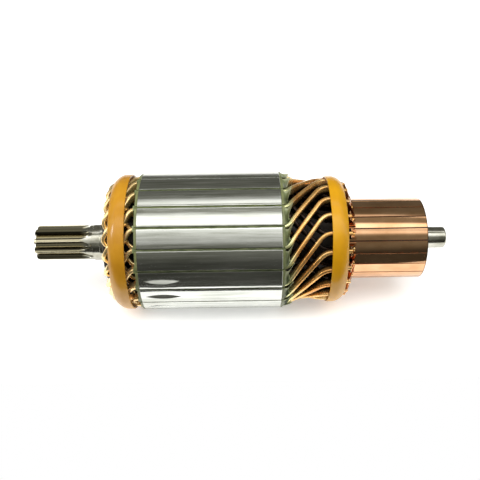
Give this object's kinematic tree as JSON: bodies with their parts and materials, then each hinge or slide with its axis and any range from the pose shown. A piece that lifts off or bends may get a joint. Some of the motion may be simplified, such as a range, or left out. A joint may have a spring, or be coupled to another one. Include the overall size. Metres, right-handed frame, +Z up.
{
  "type": "motor armature",
  "caption": "Armature of a starter motor: slotted core with a hairpin copper winding, banded at both ends, on a shaft with a pinion cut in it and a commutator.",
  "frame": {"origin": "On the shaft's axis, at the middle of the laminated core.", "axes": "+X runs along the shaft from the pinion to the commutator, +Z is up as the armature lies on its core, and a slot faces straight down."},
  "size_m": [0.2265, 0.0756, 0.0756],
  "materials": {
    "shaft_steel": "ground and oiled steel",
    "core_steel": "machined electrical steel",
    "green_fibre": "vulcanised fibre sheet",
    "liner_paper": "varnished insulating paper",
    "bar_copper": "enamelled copper under varnish",
    "segment_copper": "turned copper, browned by use",
    "mica": "undercut mica",
    "moulding": "moulded phenolic",
    "drive_band_resin": "resin bonded glass tape",
    "commutator_band_resin": "resin bonded glass tape"
  },
  "bodies": {
    "root": {"coil_01": "bar_copper", "coil_02": "bar_copper", "coil_03": "bar_copper", "coil_04": "bar_copper", "coil_05": "bar_copper", "coil_06": "bar_copper", "coil_07": "bar_copper", "coil_08": "bar_copper", "coil_09": "bar_copper", "coil_10": "bar_copper", "coil_11": "bar_copper", "coil_12": "bar_copper", "coil_13": "bar_copper", "coil_14": "bar_copper", "coil_15": "bar_copper", "coil_16": "bar_copper", "coil_17": "bar_copper", "coil_18": "bar_copper", "coil_19": "bar_copper", "coil_20": "bar_copper", "coil_21": "bar_copper", "commutator_end_band": "commutator_band_resin", "commutator_end_lamination": "green_fibre", "commutator_hub": "moulding", "commutator_segment_01": "segment_copper", "commutator_segment_02": "segment_copper", "commutator_segment_03": "segment_copper", "commutator_segment_04": "segment_copper", "commutator_segment_05": "segment_copper", "commutator_segment_06": "segment_copper", "commutator_segment_07": "segment_copper", "commutator_segment_08": "segment_copper", "commutator_segment_09": "segment_copper", "commutator_segment_10": "segment_copper", "commutator_segment_11": "segment_copper", "commutator_segment_12": "segment_copper", "commutator_segment_13": "segment_copper", "commutator_segment_14": "segment_copper", "commutator_segment_15": "segment_copper", "commutator_segment_16": "segment_copper", "commutator_segment_17": "segment_copper", "commutator_segment_18": "segment_copper", "commutator_segment_19": "segment_copper", "commutator_segment_20": "segment_copper", "commutator_segment_21": "segment_copper", "commutator_sleeve": "shaft_steel", "drive_end_band": "drive_band_resin", "drive_end_lamination": "green_fibre", "drive_end_support": "moulding", "insulating_tube": "moulding", "lamination_stack": "core_steel", "layer_ring": "liner_paper", "mica_sheets": "mica", "shaft": "shaft_steel", "slot_liners": "liner_paper", "thrust_ring": "shaft_steel"}
  },
  "joints": []
}
